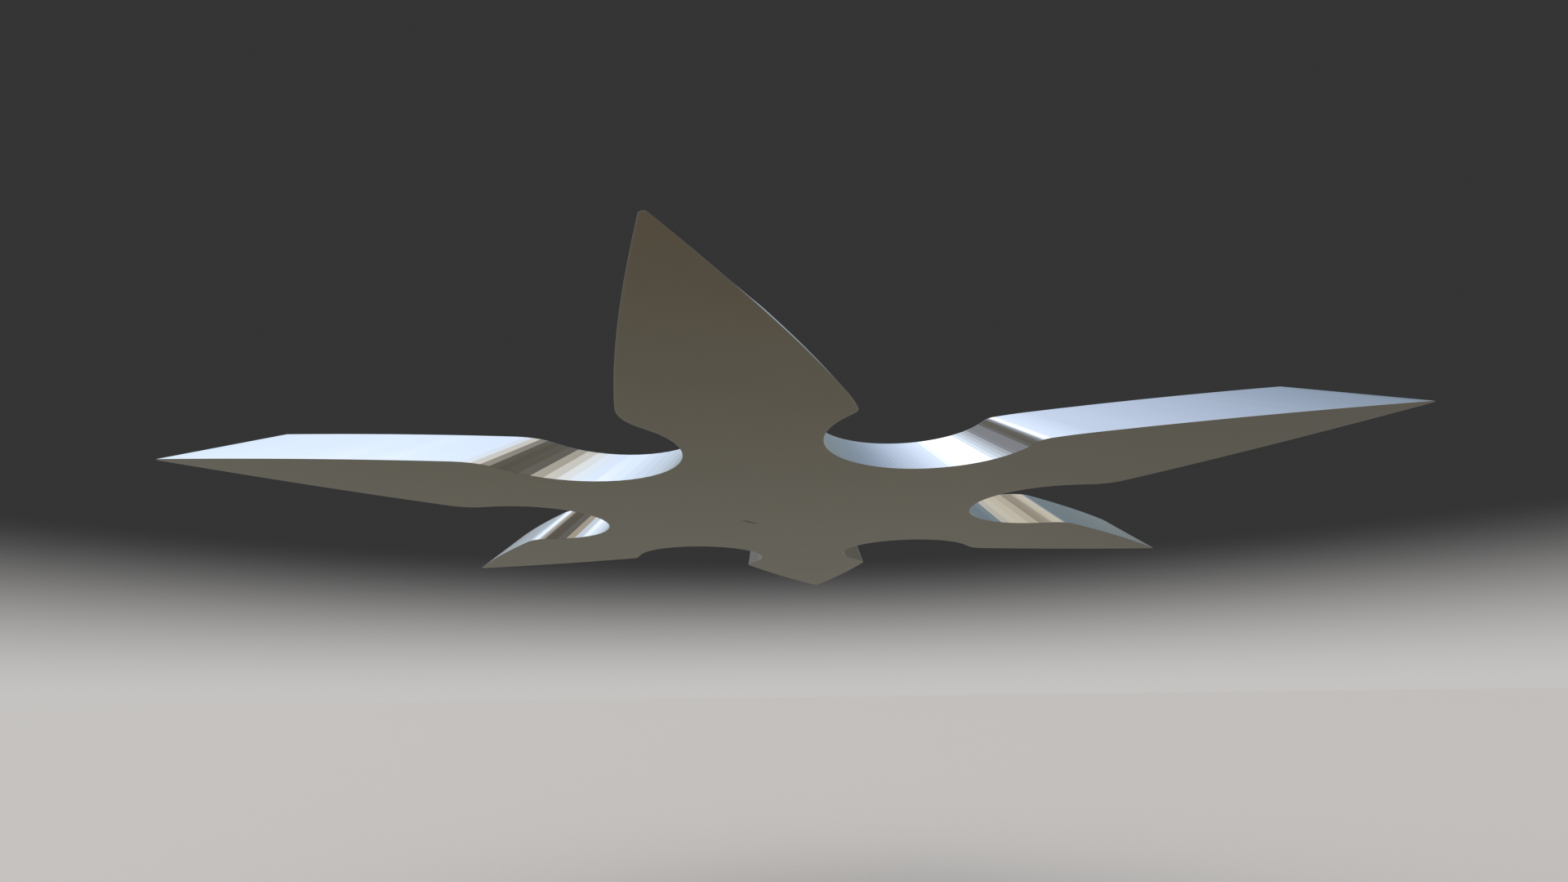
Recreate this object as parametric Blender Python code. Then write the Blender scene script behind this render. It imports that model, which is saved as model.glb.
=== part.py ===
"""Six-pointed throwing star: a thin steel plate with sloping ground walls, and a flush disc in its centre.

The plate lies flat with its large face down on z = 0 and its small face up. The arms point along -Y, +Y
and every 60 degrees between them. Everything is in metres.
"""
import math

import bmesh
import bpy
from mathutils import Matrix, Vector

MM = 0.001

# The plate
ARM_COUNT = 6
TIP_RADIUS = 50.0 * MM        # centre of the star to the point of an arm, on the large face
THICKNESS = 2.9 * MM
SMALL_FACE_SCALE = 0.847      # the upper face is the lower one shrunk towards the centre

# The outline of one half of an arm, which points along +Y from the centre
GULLET_CENTRE_RADIUS = 25.7 * MM   # centre of the star to the centre of a gullet's round
GULLET_RADIUS = 7.7 * MM           # round of the gullet between two arms
BARB_CENTRE = Vector((4.3 * MM, 29.2 * MM))
BARB_RADIUS = 3.25 * MM            # round where the gullet's flank turns into the cutting edge
EDGE_RADIUS = 160.0 * MM           # long shallow arc of the cutting edge
TIP_ROUND = 0.22 * MM              # small round that ends the arm

# The disc in the centre
HOLE_RADIUS = 4.75 * MM
DISC_GAP = 0.3 * MM           # clearance all round the disc
DISC_SEGMENTS = 48

# Points along each stretch of half an arm's outline
GULLET_STEPS = 12
BARB_STEPS = 8
EDGE_STEPS = 6
TIP_STEPS = 3

CUTTER_OVERRUN = 1.0 * MM     # how far the hole's cutter stands past each face
SMOOTH_ANGLE = math.radians(25.0)


def clear_objects():
    for old in list(bpy.data.objects):
        bpy.data.objects.remove(old, do_unlink=True)


def steel(name, colour, roughness):
    material = bpy.data.materials.new(name)
    material.use_nodes = True
    shader = material.node_tree.nodes["Principled BSDF"]
    shader.inputs["Base Color"].default_value = (*colour, 1.0)
    shader.inputs["Metallic"].default_value = 1.0
    shader.inputs["Roughness"].default_value = roughness
    return material


def polar(radius, angle):
    return Vector((radius * math.cos(angle), radius * math.sin(angle)))


def angle_of(vector):
    return math.atan2(vector.y, vector.x)


def arc(centre, radius, start, end, steps):
    """Points on a circle from the start angle to the end angle, both ends included."""
    return [centre + polar(radius, start + (end - start) * i / steps) for i in range(steps + 1)]


def edge_centre(tip_centre):
    """Centre of the long edge arc, which the barb's round and the tip's round both touch from inside."""
    from_barb = EDGE_RADIUS - BARB_RADIUS
    from_tip = EDGE_RADIUS - TIP_ROUND
    across = tip_centre - BARB_CENTRE
    span = across.length
    along = (from_barb ** 2 - from_tip ** 2 + span ** 2) / (2.0 * span)
    offset = math.sqrt(from_barb ** 2 - along ** 2)
    direction = across / span
    side = Vector((-direction.y, direction.x))
    return BARB_CENTRE + direction * along + side * offset


def half_arm():
    """Half the outline of the arm along +Y, from the bottom of the gullet on its right to its tip."""
    half_pitch = math.pi / ARM_COUNT
    gullet_centre = polar(GULLET_CENTRE_RADIUS, math.pi / 2.0 - half_pitch)
    tip_centre = Vector((0.0, TIP_RADIUS - TIP_ROUND))
    centre = edge_centre(tip_centre)

    # The straight flank touches the gullet's round and the barb's round from opposite sides.
    across = BARB_CENTRE - gullet_centre
    flank = angle_of(across) + math.acos((GULLET_RADIUS + BARB_RADIUS) / across.length)
    gullet_bottom = math.pi + angle_of(gullet_centre)
    edge_start = angle_of(BARB_CENTRE - centre)
    edge_end = angle_of(tip_centre - centre)

    points = arc(gullet_centre, GULLET_RADIUS, gullet_bottom, flank, GULLET_STEPS)
    points += arc(BARB_CENTRE, BARB_RADIUS, flank - math.pi, edge_start, BARB_STEPS)
    points += arc(centre, EDGE_RADIUS, edge_start, edge_end, EDGE_STEPS)[1:]
    points += arc(tip_centre, TIP_ROUND, edge_end, math.pi / 2.0, TIP_STEPS)[1:]
    return points


def star_outline():
    """The whole outline, anticlockwise seen from above, as points in the XY plane."""
    right = half_arm()
    left = [Vector((-point.x, point.y)) for point in reversed(right)]
    arm = right + left[1:-1]
    outline = []
    for index in range(ARM_COUNT):
        turn = Matrix.Rotation(2.0 * math.pi * index / ARM_COUNT, 2)
        outline += [turn @ point for point in arm]
    return outline


def circle_outline(radius):
    return [polar(radius, 2.0 * math.pi * i / DISC_SEGMENTS) for i in range(DISC_SEGMENTS)]


def prism(name, outline, low, high, top_scale=1.0):
    """A closed solid between two flat faces, the upper one a scaled copy of the lower."""
    mesh = bpy.data.meshes.new(name)
    shape = bmesh.new()
    lower = [shape.verts.new((point.x, point.y, low)) for point in outline]
    upper = [shape.verts.new((point.x * top_scale, point.y * top_scale, high)) for point in outline]
    shape.faces.new(list(reversed(lower)))
    shape.faces.new(upper)
    for index in range(len(outline)):
        after = (index + 1) % len(outline)
        shape.faces.new((lower[index], lower[after], upper[after], upper[index]))
    bmesh.ops.recalc_face_normals(shape, faces=shape.faces)
    shape.to_mesh(mesh)
    shape.free()
    mesh.shade_smooth()
    mesh.set_sharp_from_angle(angle=SMOOTH_ANGLE)
    solid = bpy.data.objects.new(name, mesh)
    bpy.context.scene.collection.objects.link(solid)
    return solid


def star_plate():
    plate = prism("star_plate", star_outline(), 0.0, THICKNESS, SMALL_FACE_SCALE)
    plate.data.materials.append(steel("ground_steel", (0.56, 0.555, 0.55), 0.25))
    cutter = prism(
        "centre_hole_cutter", circle_outline(HOLE_RADIUS), -CUTTER_OVERRUN, THICKNESS + CUTTER_OVERRUN
    )
    cutter.hide_render = True
    cutter.display_type = "WIRE"
    hole = plate.modifiers.new("centre_hole", "BOOLEAN")
    hole.operation = "DIFFERENCE"
    hole.solver = "EXACT"
    hole.object = cutter
    return plate


def centre_disc():
    disc = prism("centre_disc", circle_outline(HOLE_RADIUS - DISC_GAP), 0.0, THICKNESS)
    disc.data.materials.append(steel("disc_steel", (0.54, 0.535, 0.53), 0.25))
    return disc


clear_objects()
star_plate()
centre_disc()
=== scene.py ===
"""Looks for the six-pointed throwing star: fine meshes, ground steel, a soft studio dome and the camera."""
import math
from collections import namedtuple

import bmesh
import bpy
from mathutils import Matrix, Vector


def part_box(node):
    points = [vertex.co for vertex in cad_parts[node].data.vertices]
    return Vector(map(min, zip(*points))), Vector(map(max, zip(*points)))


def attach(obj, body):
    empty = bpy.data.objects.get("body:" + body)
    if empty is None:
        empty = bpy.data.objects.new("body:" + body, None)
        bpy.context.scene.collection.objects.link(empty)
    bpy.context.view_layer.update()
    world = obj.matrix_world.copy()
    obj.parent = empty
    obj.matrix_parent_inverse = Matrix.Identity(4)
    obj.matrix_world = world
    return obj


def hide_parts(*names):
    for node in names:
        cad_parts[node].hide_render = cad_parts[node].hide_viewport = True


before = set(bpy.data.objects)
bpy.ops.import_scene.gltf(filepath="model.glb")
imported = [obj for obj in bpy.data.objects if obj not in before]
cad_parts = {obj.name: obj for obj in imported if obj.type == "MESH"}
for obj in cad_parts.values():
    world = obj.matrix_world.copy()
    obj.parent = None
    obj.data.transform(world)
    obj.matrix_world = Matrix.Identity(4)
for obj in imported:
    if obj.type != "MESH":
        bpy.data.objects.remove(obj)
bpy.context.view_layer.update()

MM = 0.001
ROOT = "root"
PLATE_LOW, PLATE_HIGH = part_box("star_plate")

# ---------------------------------------------------------------- sizes of the star

ARM_COUNT = 6
TIP_RADIUS = PLATE_HIGH.y
THICKNESS = PLATE_HIGH.z - PLATE_LOW.z
SMALL_FACE_SCALE = 0.847
GULLET_CENTRE_RADIUS = 25.7 * MM
GULLET_RADIUS = 7.7 * MM
BARB_CENTRE = Vector((4.3 * MM, 29.2 * MM))
BARB_RADIUS = 3.25 * MM            # round that sets where the flank and the cutting edge run
EDGE_RADIUS = 160.0 * MM
TIP_ROUND = 0.22 * MM

# The disc and its seam
SEAM_RADIUS = 4.62 * MM
SEAM_GAP = 0.002 * MM
SEAM_SEGMENTS = 144
DISC_FLAT_DISTANCE = 4.42 * MM     # a small flat on the disc's rim opens the seam to a dark sliver
DISC_FLAT_ANGLE = math.radians(146.4)

# Small roundings of the steel's edges
RIM = 0.03 * MM
RIM_MIDDLE = RIM / 4.0             # how far the middle of that round stands back along each side
RIM_BAND = 0.20 * MM               # band of the face inside an edge, where wear fades out
SEAM_RIM = 0.003 * MM

# How each gullet was ground: flats along half of it, the round of its two barbs, points along that round,
# whether those points are crisp lines up the wall too, how far its straight flank leans outwards, and the
# length of cutting edge that a softer round takes up beside the barb. The first gullet is at +X, the rest
# follow anticlockwise seen from above.
Grind = namedtuple("Grind", "flats barb_radius barb_steps crisp_barb flank_lean soft_reach")
GRINDS = (
    Grind(12, 3.25 * MM, 14, False, 0.0, 0.0),
    Grind(12, 2.6 * MM, 14, False, 0.0, 0.0),
    Grind(20, 0.9 * MM, 10, False, 0.0, 0.0),
    Grind(12, 3.25 * MM, 14, False, 0.0, 0.0),
    Grind(12, 4.2 * MM, 5, True, 0.0, 0.0),
    Grind(30, 1.2 * MM, 10, False, math.radians(6.0), 2.6 * MM),
)
SOFT_RADIUS = 20.0 * MM
SOFT_STEPS = 16
EDGE_STEPS = 24
TIP_STEPS = 8

# One cutting edge was ground steeper, so the small face reaches further out there: its arm, counted
# anticlockwise from the one along +Y, the side of that arm, the small face's scale along the edge, and
# the shares of the edge's points over which that fades in beside the barb and out towards the tip. A soft
# barb has many of those points close together.
RIGHT_SIDE = 1.0
LEFT_SIDE = -1.0
STEEP_ARM = 3
STEEP_SIDE = LEFT_SIDE
STEEP_SCALE = 0.8640
STEEP_FADE_IN = 0.10
STEEP_FADE_OUT = 0.25

# ---------------------------------------------------------------- outline

# A point of the outline, whether it is a crisp line up the wall, and its place in the count of the cutting
# edge's points, from 0 at the barb to 1 at the tip
Corner = namedtuple("Corner", "point crisp along")


def polar(radius, angle):
    return Vector((radius * math.cos(angle), radius * math.sin(angle)))


def angle_of(vector):
    return math.atan2(vector.y, vector.x)


def arc(centre, radius, start, end, steps):
    """Points on a circle from the start angle to the end angle, both ends included."""
    return [centre + polar(radius, start + (end - start) * i / steps) for i in range(steps + 1)]


def edge_centre(tip_centre):
    """Centre of the long edge arc, which the barb's round and the tip's round both touch from inside."""
    from_barb = EDGE_RADIUS - BARB_RADIUS
    from_tip = EDGE_RADIUS - TIP_ROUND
    across = tip_centre - BARB_CENTRE
    span = across.length
    along = (from_barb ** 2 - from_tip ** 2 + span ** 2) / (2.0 * span)
    offset = math.sqrt(from_barb ** 2 - along ** 2)
    direction = across / span
    side = Vector((-direction.y, direction.x))
    return BARB_CENTRE + direction * along + side * offset


def barb_round(radius, tangent_point, flank, centre, outer_radius):
    """Centre of a barb's round that touches the straight flank and, from inside, a larger arc."""
    along = polar(1.0, flank - math.pi / 2.0)
    start = tangent_point + polar(radius, flank)
    reach = start - centre
    half_b = reach.dot(along)
    gap = reach.length_squared - (outer_radius - radius) ** 2
    return start + along * (math.sqrt(half_b ** 2 - gap) - half_b)


def half_arm(grind):
    """Corners of half the arm along +Y, from the bottom of the gullet on its right to its tip."""
    gullet_centre = polar(GULLET_CENTRE_RADIUS, math.pi / 2.0 - math.pi / ARM_COUNT)
    tip_centre = Vector((0.0, TIP_RADIUS - TIP_ROUND))
    centre = edge_centre(tip_centre)
    across = BARB_CENTRE - gullet_centre
    flank = angle_of(across) + math.acos((GULLET_RADIUS + BARB_RADIUS) / across.length) - grind.flank_lean
    gullet_bottom = math.pi + angle_of(gullet_centre)
    gullet = arc(gullet_centre, GULLET_RADIUS, gullet_bottom, flank, grind.flats)
    barb = barb_round(grind.barb_radius, gullet[-1], flank, centre, EDGE_RADIUS)
    edge_start = angle_of(barb - centre)
    edge_end = angle_of(tip_centre - centre)
    round_end = edge_start
    cutting_edge = []
    if grind.soft_reach > 0.0:
        edge_start += grind.soft_reach / EDGE_RADIUS
        soft_centre = centre + polar(EDGE_RADIUS - SOFT_RADIUS, edge_start)
        barb = barb_round(grind.barb_radius, gullet[-1], flank, soft_centre, SOFT_RADIUS)
        round_end = angle_of(barb - soft_centre)
        cutting_edge = arc(soft_centre, SOFT_RADIUS, round_end, edge_start, SOFT_STEPS)[1:]
    cutting_edge += arc(centre, EDGE_RADIUS, edge_start, edge_end, EDGE_STEPS)[1:]
    barb_points = arc(barb, grind.barb_radius, flank - math.pi, round_end, grind.barb_steps)
    tip_points = arc(tip_centre, TIP_ROUND, edge_end, math.pi / 2.0, TIP_STEPS)[1:]

    corners = [Corner(point, True, 0.0) for point in gullet]
    corners += [Corner(point, grind.crisp_barb, 0.0) for point in barb_points]
    corners += [Corner(point, False, (i + 1) / len(cutting_edge)) for i, point in enumerate(cutting_edge)]
    corners += [Corner(point, False, 1.0) for point in tip_points]
    return corners


def small_face_scale(arm, side, along):
    """How much smaller the small face's outline is there, eased in and out along the steeper edge."""
    if (arm, side) != (STEEP_ARM, STEEP_SIDE):
        return SMALL_FACE_SCALE
    rise = min(1.0, along / STEEP_FADE_IN, (1.0 - along) / STEEP_FADE_OUT)
    return SMALL_FACE_SCALE + (STEEP_SCALE - SMALL_FACE_SCALE) * rise * rise * (3.0 - 2.0 * rise)


def star_outline():
    """The outline anticlockwise from above, as (point, crisp line up the wall?, the small face's scale)."""
    outline = []
    for arm in range(ARM_COUNT):
        turn = Matrix.Rotation(2.0 * math.pi * arm / ARM_COUNT, 2)
        # The arm along +Y has gullet 1 on its right and gullet 2 on its left.
        right = half_arm(GRINDS[(1 + arm) % ARM_COUNT])
        left = half_arm(GRINDS[(2 + arm) % ARM_COUNT])
        for side, corners in ((RIGHT_SIDE, right), (LEFT_SIDE, left[-2:0:-1])):
            for corner in corners:
                point = turn @ Vector((side * corner.point.x, corner.point.y))
                outline.append((point, corner.crisp, small_face_scale(arm, side, corner.along)))
    return outline


def outward_normals(points):
    """Unit normals of a closed anticlockwise outline, each the mean of its two sides."""
    count = len(points)
    sides = [(points[(i + 1) % count] - points[i]).normalized() for i in range(count)]
    tangents = [(sides[i] + sides[i - 1]).normalized() for i in range(count)]
    return [Vector((tangent.y, -tangent.x)) for tangent in tangents]


# ---------------------------------------------------------------- meshes

FACE_SLOT = 0
SEAM_SLOT = 1
WALL_SLOT = 2
DOWN = (0.0, 0.0, -1.0)
UP = (0.0, 0.0, 1.0)

# Rings round the outline, counted from the inside of the large face's band to that of the small face's
RING_COUNT = 8
LOW_RIM = (1, 3)
HIGH_RIM = (4, 6)

# One side of the seam, as (distance back from the gap, height), and the level of its long hidden wall
SEAM_PROFILE = (
    (RIM_BAND, 0.0), (SEAM_RIM, 0.0), (0.0, SEAM_RIM),
    (0.0, THICKNESS - SEAM_RIM), (SEAM_RIM, THICKNESS), (RIM_BAND, THICKNESS),
)
SEAM_WALL_LEVEL = 2


def lift(point, height):
    return Vector((point.x, point.y, height))


def wall_sections(points, scales, normals):
    """The rings from the large face's band, round its rim, up the wall and over to the small face's band."""
    sections = [[] for _ in range(RING_COUNT)]
    for point, scale, normal in zip(points, scales, normals):
        low = lift(point, 0.0)
        high = lift(point * scale, THICKNESS)
        out = lift(normal, 0.0)
        up = (high - low).normalized()
        ring = [low - out * RIM_BAND, low - out * RIM, low + (up - out) * RIM_MIDDLE, low + up * RIM]
        ring += [high - up * RIM, high - (up + out) * RIM_MIDDLE, high - out * RIM, high - out * RIM_BAND]
        for section, corner in zip(sections, ring):
            section.append(corner)
    return sections


def circle(radius, flat_distance=None):
    """A ring of points; with a flat, points past the chord are pulled back onto it."""
    points = []
    for i in range(SEAM_SEGMENTS):
        angle = 2.0 * math.pi * i / SEAM_SEGMENTS
        reach = radius
        toward = math.cos(angle - DISC_FLAT_ANGLE)
        if flat_distance is not None and toward > 0.0:
            reach = min(radius, flat_distance / toward)
        points.append(polar(reach, angle))
    return points


def add_ring(shape, points):
    return [shape.verts.new(point) for point in points]


def bridge(shape, lower, upper, slot):
    """Quads between two rings of the same count, in the order of the rings."""
    faces = []
    for i in range(len(lower)):
        after = (i + 1) % len(lower)
        face = shape.faces.new((lower[i], lower[after], upper[after], upper[i]))
        face.material_index = slot
        face.smooth = True
        faces.append(face)
    return faces


def ring_edges(shape, ring):
    return [shape.edges.get((ring[i], ring[(i + 1) % len(ring)])) for i in range(len(ring))]


def crease_ring(shape, ring):
    """Marks the edges round a ring as crisp."""
    for edge in ring_edges(shape, ring):
        edge.smooth = False


def fill_face(shape, rings, normal):
    """Flat triangles inside the first ring and outside the second, where there is one."""
    edges = [edge for ring in rings for edge in ring_edges(shape, ring)]
    made = bmesh.ops.triangle_fill(shape, use_beauty=True, edges=edges, normal=normal)
    for face in made["geom"]:
        if isinstance(face, bmesh.types.BMFace):
            face.material_index = FACE_SLOT
            face.smooth = True


def add_wall(shape, corners):
    """Band, rim, wall, rim and band round the whole outline, with lengths in millimetres as its UV."""
    wear = shape.verts.layers.float.new("wear")
    marks = shape.loops.layers.uv.new("wall_mm")
    points, crisp, scales = zip(*corners)
    count = len(points)
    sections = wall_sections(points, scales, outward_normals(points))
    rings = [add_ring(shape, section) for section in sections]
    run = [0.0]
    for i in range(count):
        run.append(run[-1] + (points[(i + 1) % count] - points[i]).length / MM)

    # Worn from rim to rim; the bands fade to unworn on the faces.
    for ring in rings[LOW_RIM[0]:HIGH_RIM[1] + 1]:
        for vert in ring:
            vert[wear] = 1.0

    for level in range(RING_COUNT - 1):
        slot = WALL_SLOT if LOW_RIM[0] <= level < HIGH_RIM[1] else FACE_SLOT
        for i, face in enumerate(bridge(shape, rings[level], rings[level + 1], slot)):
            low, high = ((rings[step][i].co - rings[0][i].co).length / MM for step in (level, level + 1))
            places = ((run[i], low), (run[i + 1], low), (run[i + 1], high), (run[i], high))
            for loop, place in zip(face.loops, places):
                loop[marks].uv = place

    # Crisp lines up the wall between the ground flats, and along both sides of each small rim
    for i in range(count):
        if crisp[i]:
            for level in range(LOW_RIM[0], HIGH_RIM[1]):
                shape.edges.get((rings[level][i], rings[level + 1][i])).smooth = False
    for level in LOW_RIM + HIGH_RIM:
        crease_ring(shape, rings[level])
    return rings


def add_seam_side(shape, ring_at):
    """One side of the seam, from its band on the large face through to its band on the small face."""
    rings = []
    for back, height in SEAM_PROFILE:
        rings.append(add_ring(shape, [lift(point, height) for point in ring_at(back)]))
    for level in range(len(rings) - 1):
        slot = SEAM_SLOT if level == SEAM_WALL_LEVEL else FACE_SLOT
        bridge(shape, rings[level], rings[level + 1], slot)
    for ring in rings:
        crease_ring(shape, ring)
    return rings


def finish_mesh(name, shape, materials):
    bmesh.ops.recalc_face_normals(shape, faces=shape.faces)
    mesh = bpy.data.meshes.new(name)
    shape.to_mesh(mesh)
    shape.free()
    for material in materials:
        mesh.materials.append(material)
    piece = bpy.data.objects.new(name, mesh)
    bpy.context.scene.collection.objects.link(piece)
    return piece


def build_plate(materials):
    shape = bmesh.new()
    wall = add_wall(shape, star_outline())
    hole = add_seam_side(shape, lambda back: circle(SEAM_RADIUS + back))
    fill_face(shape, (wall[0], hole[0]), DOWN)
    fill_face(shape, (wall[-1], hole[-1]), UP)
    return finish_mesh("ground_plate", shape, materials)


def build_disc(materials):
    shape = bmesh.new()
    radius = SEAM_RADIUS - SEAM_GAP
    rim = add_seam_side(shape, lambda back: circle(radius - back, DISC_FLAT_DISTANCE - back))
    fill_face(shape, (rim[0],), DOWN)
    fill_face(shape, (rim[-1],), UP)
    return finish_mesh("flush_disc", shape, materials)


# ---------------------------------------------------------------- materials

# A noise: its cells per millimetre along X, Y and Z, its octaves, and how strong the finer ones are
Pattern = namedtuple("Pattern", "cells octaves roughness")
# Scratches: the way they run, where in the noise they are taken from, and how strong it is where they begin
Scratches = namedtuple("Scratches", "turn shift begins")

# Satin faces
GRAIN_TURN = 0.35
GRAIN = Pattern((0.25, 9.0, 1.0), 4.0, 0.6)
MOTTLE = Pattern((0.11, 0.11, 0.11), 3.0, 0.55)
SCRATCH_LINES = Pattern((0.16, 2.6, 1.0), 1.0, 0.3)
SCRATCH_BREAKS = Pattern((0.22, 0.22, 1.0), 2.0, 0.5)
SCRATCH_SETS = (
    Scratches(GRAIN_TURN + 0.55, (3.1, 7.7, 0.0), 0.62),
    Scratches(GRAIN_TURN - 0.9, (11.3, 1.9, 0.0), 0.65),
)
SCRATCH_WIDTH = 0.006              # in the noise's value, either side of its middle
SCRATCH_FADE = 0.08                # in the noise's value, from no scratch to a full one
NOISE_MIDDLE = 0.5
FACE_DARK = (0.55, 0.545, 0.54, 1.0)
FACE_LIGHT = (0.605, 0.60, 0.595, 1.0)
WORN_STEEL = (0.66, 0.66, 0.66, 1.0)
FRESH_SCRATCH = (0.76, 0.76, 0.76, 1.0)
GRAIN_IN_TONE = 0.35
TONE_SPAN = (0.45, 0.95)
WEAR_IN_COLOUR = 0.4
SCRATCH_IN_COLOUR = 0.10
MOTTLE_IN_ROUGHNESS = 0.6
ROUGHNESS_SPAN = (0.55, 1.0)
FACE_ROUGHNESS = (0.17, 0.27)
WEAR_IN_ROUGHNESS = -0.06
SCRATCH_DEPTH = -0.8               # in heights of the grain
FACE_BUMP = 0.10

# Ground walls, laid out along the outline and up the wall
GRINDING_LINES = Pattern((7.0, 0.22, 1.0), 4.0, 0.6)
GRINDING_PASSES = Pattern((0.45, 0.05, 1.0), 2.0, 0.5)
WALL_DARK = (0.5725, 0.5775, 0.585, 1.0)
WALL_LIGHT = (0.5975, 0.6025, 0.61, 1.0)
LINES_IN_TONE = 0.5
WALL_TONE_SPAN = (0.5, 1.0)
LINES_IN_ROUGHNESS = 0.6
WALL_ROUGHNESS_SPAN = (0.5, 1.1)
WALL_ROUGHNESS = (0.09, 0.17)
WALL_BUMP = 0.08
BUMP_HEIGHT = 0.004 * MM

# Painted shade in the seam: near-black patchy colour on its hidden walls, standing in for the shade in the
# gap
SEAM_SHADE_PATCHES = Pattern((2.5, 2.5, 2.5), 4.0, 0.6)
SEAM_SHADE_DARK = (0.010, 0.009, 0.007, 1.0)
SEAM_SHADE_LIGHT = (0.030, 0.026, 0.020, 1.0)
SEAM_SHADE_ROUGHNESS = 0.85

# Floor
SPECKLE = Pattern((0.9, 0.9, 0.9), 3.0, 0.6)
FLOOR_DARK = (0.525, 0.46, 0.405, 1.0)
FLOOR_LIGHT = (0.565, 0.495, 0.435, 1.0)
FLOOR_ROUGHNESS = 0.9


class Nodes:
    """Short ways to add and join shader nodes."""

    def __init__(self, tree):
        self.tree = tree

    def add(self, kind, inputs=None, **settings):
        node = self.tree.nodes.new(kind)
        for key, value in settings.items():
            setattr(node, key, value)
        for key, value in (inputs or {}).items():
            self.feed(node.inputs[key], value)
        return node

    def feed(self, socket, value):
        """Links another node's output to a socket, or sets the socket's own value."""
        if isinstance(value, bpy.types.NodeSocket):
            self.tree.links.new(value, socket)
        else:
            socket.default_value = value

    def math(self, operation, *values):
        inputs = dict(enumerate(values))
        return self.add("ShaderNodeMath", inputs, operation=operation).outputs[0]

    def span(self, value, start, end, to_start=0.0, to_end=1.0):
        """A value's place between two others, as a straight line, clamped at both ends."""
        return self.map_range(value, (start, end, to_start, to_end), "LINEAR")

    def fade(self, value, start, end, to_start=0.0, to_end=1.0):
        """The same as span, but eased at both ends."""
        return self.map_range(value, (start, end, to_start, to_end), "SMOOTHSTEP")

    def map_range(self, value, limits, kind):
        inputs = dict(zip(("From Min", "From Max", "To Min", "To Max"), limits), Value=value)
        return self.add("ShaderNodeMapRange", inputs, interpolation_type=kind).outputs["Result"]

    def mix(self, factor, first, second):
        node = self.add("ShaderNodeMix", data_type="RGBA")
        sockets = {socket.identifier: socket for socket in node.inputs}
        for key, value in (("Factor_Float", factor), ("A_Color", first), ("B_Color", second)):
            self.feed(sockets[key], value)
        return next(socket for socket in node.outputs if socket.identifier == "Result_Color")

    def millimetres(self):
        """The place on the object."""
        place = self.add("ShaderNodeTexCoord").outputs["Object"]
        scaled = self.add("ShaderNodeVectorMath", {0: place, "Scale": 1.0 / MM}, operation="SCALE")
        return scaled.outputs["Vector"]

    def noise(self, place, pattern, turn=0.0, shift=(0.0, 0.0, 0.0)):
        cell_size = tuple(1.0 / cells for cells in pattern.cells)
        layout = {"Vector": place, "Location": shift, "Rotation": (0.0, 0.0, turn), "Scale": cell_size}
        laid_out = self.add("ShaderNodeMapping", layout, vector_type="TEXTURE").outputs["Vector"]
        look = {"Vector": laid_out, "Scale": 1.0, "Detail": pattern.octaves, "Roughness": pattern.roughness}
        return self.add("ShaderNodeTexNoise", look).outputs["Fac"]

    def bump(self, strength, height):
        inputs = {"Strength": strength, "Distance": BUMP_HEIGHT, "Height": height}
        return self.add("ShaderNodeBump", inputs).outputs["Normal"]


def new_material(name, metallic=1.0):
    material = bpy.data.materials.new(name)
    material.use_nodes = True
    shader = material.node_tree.nodes["Principled BSDF"]
    shader.inputs["Metallic"].default_value = metallic
    return material, shader.inputs, Nodes(material.node_tree)


def scratches(nodes, place, scratch_set):
    """Thin straight scratches: the middle value of a long noise, broken up by a wide one."""
    lines = nodes.noise(place, SCRATCH_LINES, scratch_set.turn, scratch_set.shift)
    off_middle = nodes.math("ABSOLUTE", nodes.math("SUBTRACT", lines, NOISE_MIDDLE))
    core = nodes.fade(off_middle, 0.0, SCRATCH_WIDTH, 1.0, 0.0)
    breaks = nodes.noise(place, SCRATCH_BREAKS, scratch_set.turn, scratch_set.shift)
    present = nodes.fade(breaks, scratch_set.begins, scratch_set.begins + SCRATCH_FADE)
    return nodes.math("MULTIPLY", core, present)


def face_steel(name):
    """Flat faces: surface-ground steel, satin, with straight grain, light scratches and worn edges."""
    material, surface, nodes = new_material(name)
    place = nodes.millimetres()
    grain = nodes.noise(place, GRAIN, GRAIN_TURN)
    mottle = nodes.noise(place, MOTTLE)
    cuts = nodes.math("MAXIMUM", *(scratches(nodes, place, scratch_set) for scratch_set in SCRATCH_SETS))
    wear = nodes.add("ShaderNodeAttribute", attribute_name="wear").outputs["Fac"]

    tone = nodes.span(nodes.math("MULTIPLY_ADD", grain, GRAIN_IN_TONE, mottle), *TONE_SPAN)
    colour = nodes.mix(tone, FACE_DARK, FACE_LIGHT)
    colour = nodes.mix(nodes.math("MULTIPLY", wear, WEAR_IN_COLOUR), colour, WORN_STEEL)
    colour = nodes.mix(nodes.math("MULTIPLY", cuts, SCRATCH_IN_COLOUR), colour, FRESH_SCRATCH)
    unevenness = nodes.math("MULTIPLY_ADD", mottle, MOTTLE_IN_ROUGHNESS, grain)
    roughness = nodes.span(unevenness, *ROUGHNESS_SPAN, *FACE_ROUGHNESS)
    roughness = nodes.math("MULTIPLY_ADD", wear, WEAR_IN_ROUGHNESS, roughness)
    height = nodes.math("MULTIPLY_ADD", cuts, SCRATCH_DEPTH, grain)
    nodes.feed(surface["Base Color"], colour)
    nodes.feed(surface["Roughness"], roughness)
    nodes.feed(surface["Normal"], nodes.bump(FACE_BUMP, height))
    return material


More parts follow.
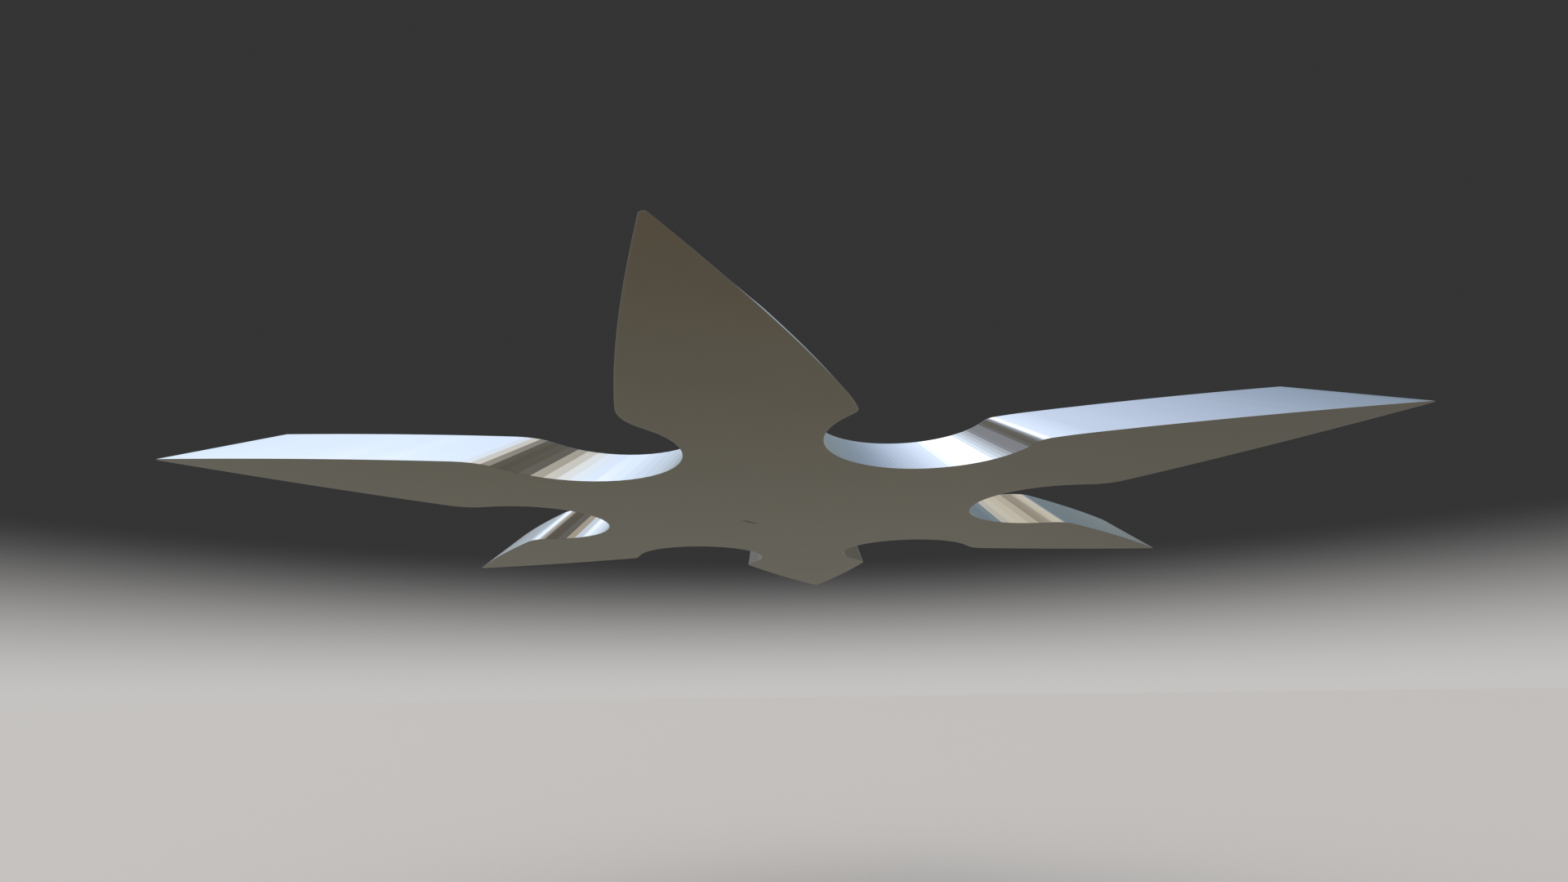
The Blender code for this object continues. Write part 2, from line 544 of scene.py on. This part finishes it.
def wall_steel():
    """Sloping walls: ground brighter than the faces, with fine grinding lines up the wall."""
    material, surface, nodes = new_material("bright_ground_wall")
    place = nodes.add("ShaderNodeUVMap", uv_map="wall_mm").outputs["UV"]
    lines = nodes.noise(place, GRINDING_LINES)
    passes = nodes.noise(place, GRINDING_PASSES)
    tone = nodes.span(nodes.math("MULTIPLY_ADD", lines, LINES_IN_TONE, passes), *WALL_TONE_SPAN)
    unevenness = nodes.math("MULTIPLY_ADD", lines, LINES_IN_ROUGHNESS, passes)
    nodes.feed(surface["Base Color"], nodes.mix(tone, WALL_DARK, WALL_LIGHT))
    nodes.feed(surface["Roughness"], nodes.span(unevenness, *WALL_ROUGHNESS_SPAN, *WALL_ROUGHNESS))
    nodes.feed(surface["Normal"], nodes.bump(WALL_BUMP, lines))
    return material


def seam_painted_shade():
    """Painted shade: near-black patchy non-metal colour on the hidden walls of the seam, standing in for the
    shade in the narrow gap.
    """
    material, surface, nodes = new_material("seam_painted_shade", 0.0)
    patches = nodes.noise(nodes.millimetres(), SEAM_SHADE_PATCHES)
    nodes.feed(surface["Base Color"], nodes.mix(patches, SEAM_SHADE_DARK, SEAM_SHADE_LIGHT))
    surface["Roughness"].default_value = SEAM_SHADE_ROUGHNESS
    return material


def matt_floor():
    """Pale matt floor with a faint fine speckle."""
    material, surface, nodes = new_material("pale_matt_floor", 0.0)
    speckle = nodes.noise(nodes.millimetres(), SPECKLE)
    nodes.feed(surface["Base Color"], nodes.mix(speckle, FLOOR_DARK, FLOOR_LIGHT))
    surface["Roughness"].default_value = FLOOR_ROUGHNESS
    return material


# ---------------------------------------------------------------- studio

FLOOR_HEIGHT = -0.040
FLOOR_HALF_SIDE = 20.0
FLOOR_SEGMENTS = 8
# (sine of the elevation, colour of the soft dome there)
DOME = (
    (-1.0, (0.132, 0.110, 0.074)),
    (-0.6, (0.137, 0.110, 0.072)),
    (-0.25, (0.187, 0.178, 0.146)),
    (-0.05, (0.197, 0.188, 0.158)),
    (0.15, (0.205, 0.187, 0.180)),
    (0.35, (0.240, 0.290, 0.305)),
    (0.6, (0.21, 0.27, 0.30)),
    (0.85, (0.02, 0.08, 0.17)),
    (1.0, (0.02, 0.08, 0.27)),
)
# Soft patches of the dome, each laid over the ones before it: the azimuth and elevation of the patch's
# middle in degrees, the cosine of the angle from it where the patch begins and where it is full, its colour
Patch = namedtuple("Patch", "azimuth elevation begins full colour")
SHADE = Patch(42.0, -12.0, 0.75, 0.97, (0.160, 0.151, 0.126))
FILL = Patch(-75.0, 14.0, 0.405, 0.85, (0.89, 0.81, 0.65))
GAP = Patch(-112.0, -22.0, 0.90, 0.98, (0.170, 0.150, 0.120))
KEY = Patch(-148.0, 56.0, -0.12, 1.87, (2.3, 2.6, 3.0))
CORE = Patch(-144.0, 47.0, 0.84, 0.97, (2.15, 2.15, 2.10))
WARM_BOARD = Patch(-128.0, -8.0, 0.955, 0.985, (0.63, 0.55, 0.43))
COOL_BOARD = Patch(165.0, -14.0, 0.94, 0.985, (0.37, 0.38, 0.41))
PATCHES = (SHADE, FILL, GAP, KEY, CORE, WARM_BOARD, COOL_BOARD)
BACKDROP_LOW = (0.560, 0.548, 0.536, 1.0)
BACKDROP_HIGH = (0.035, 0.035, 0.036, 1.0)
BACKDROP_FADE = 0.17               # sine of the elevation where the backdrop has gone dark


def direction_of(azimuth, elevation):
    """Unit vector towards an azimuth and elevation in degrees."""
    flat = polar(math.cos(math.radians(elevation)), math.radians(azimuth))
    return lift(flat, math.sin(math.radians(elevation)))


def build_dome():
    """A grey dome with a large cool key overhead, a warm fill and shaded sides, and a plain backdrop."""
    world = bpy.data.worlds.new("studio_dome")
    bpy.context.scene.world = world
    world.use_nodes = True
    nodes = Nodes(world.node_tree)
    direction = nodes.add("ShaderNodeTexCoord").outputs["Generated"]
    rise = nodes.add("ShaderNodeSeparateXYZ", {"Vector": direction}).outputs["Z"]

    ramp = nodes.add("ShaderNodeValToRGB", {"Fac": nodes.span(rise, -1.0, 1.0)})
    stops = ramp.color_ramp.elements
    for sine, _ in DOME[1:-1]:
        stops.new((sine + 1.0) / 2.0)
    for stop, (_, colour) in zip(stops, DOME):
        stop.color = (*colour, 1.0)

    light = ramp.outputs["Color"]
    for patch in PATCHES:
        axis = direction_of(patch.azimuth, patch.elevation)
        across = nodes.add("ShaderNodeVectorMath", {0: direction, 1: axis}, operation="DOT_PRODUCT")
        share = nodes.fade(across.outputs["Value"], patch.begins, patch.full)
        light = nodes.mix(share, light, (*patch.colour, 1.0))
    backdrop = nodes.mix(nodes.fade(rise, 0.0, BACKDROP_FADE), BACKDROP_LOW, BACKDROP_HIGH)
    seen = nodes.add("ShaderNodeLightPath").outputs["Is Camera Ray"]
    background = world.node_tree.nodes["Background"]
    nodes.feed(background.inputs["Color"], nodes.mix(seen, light, backdrop))


def build_floor():
    mesh = bpy.data.meshes.new("studio_floor")
    shape = bmesh.new()
    segments = {"x_segments": FLOOR_SEGMENTS, "y_segments": FLOOR_SEGMENTS}
    bmesh.ops.create_grid(shape, **segments, size=FLOOR_HALF_SIDE)
    shape.to_mesh(mesh)
    shape.free()
    mesh.materials.append(matt_floor())
    floor = bpy.data.objects.new("studio_floor", mesh)
    floor.location.z = FLOOR_HEIGHT
    bpy.context.scene.collection.objects.link(floor)
    # The steel mirrors the dome's dark lower half and not the pale floor.
    floor.visible_glossy = False


# ---------------------------------------------------------------- camera

CAMERA_PLACE = Vector((0.14823, -1.46274, -0.33780))    # in tip radii from the star's centre
CAMERA_AZIMUTH = 95.688            # degrees, the way it looks
CAMERA_ELEVATION = 18.495
CAMERA_ROLL = math.radians(-0.730)
FIELD_OF_VIEW = math.radians(60.0)                      # from the bottom to the top of the frame
FRAME_ASPECT = 1920.0 / 1080.0
SENSOR_WIDTH = 36.0
NEAR_CLIP = 0.002
FAR_CLIP = 100.0


def build_camera():
    data = bpy.data.cameras.new("photo_view")
    data.sensor_width = SENSOR_WIDTH
    data.lens = SENSOR_WIDTH / FRAME_ASPECT / 2.0 / math.tan(FIELD_OF_VIEW / 2.0)
    data.clip_start = NEAR_CLIP
    data.clip_end = FAR_CLIP
    camera = bpy.data.objects.new("photo_view", data)
    bpy.context.scene.collection.objects.link(camera)
    back = -direction_of(CAMERA_AZIMUTH, CAMERA_ELEVATION)
    level_right = Vector(UP).cross(back).normalized()
    level_up = back.cross(level_right)
    right = level_right * math.cos(CAMERA_ROLL) + level_up * math.sin(CAMERA_ROLL)
    turn = Matrix((right, back.cross(right), back)).transposed()
    camera.matrix_world = Matrix.Translation(CAMERA_PLACE * TIP_RADIUS) @ turn.to_4x4()
    bpy.context.scene.camera = camera


build_camera()
build_floor()
build_dome()
bpy.context.scene.view_settings.view_transform = "Standard"

# The seam's hidden walls get painted shade: a near-black non-metal colour for the shade in the narrow gap.
seam_shade = seam_painted_shade()
plate = build_plate([face_steel("satin_plate_face"), seam_shade, wall_steel()])
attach(plate, ROOT)
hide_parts("star_plate")

disc = build_disc([face_steel("satin_disc_face"), seam_shade])
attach(disc, ROOT)
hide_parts("centre_disc")

# Each wall mirrors only the studio and not the other walls.
for piece in (plate, disc):
    piece.visible_glossy = False
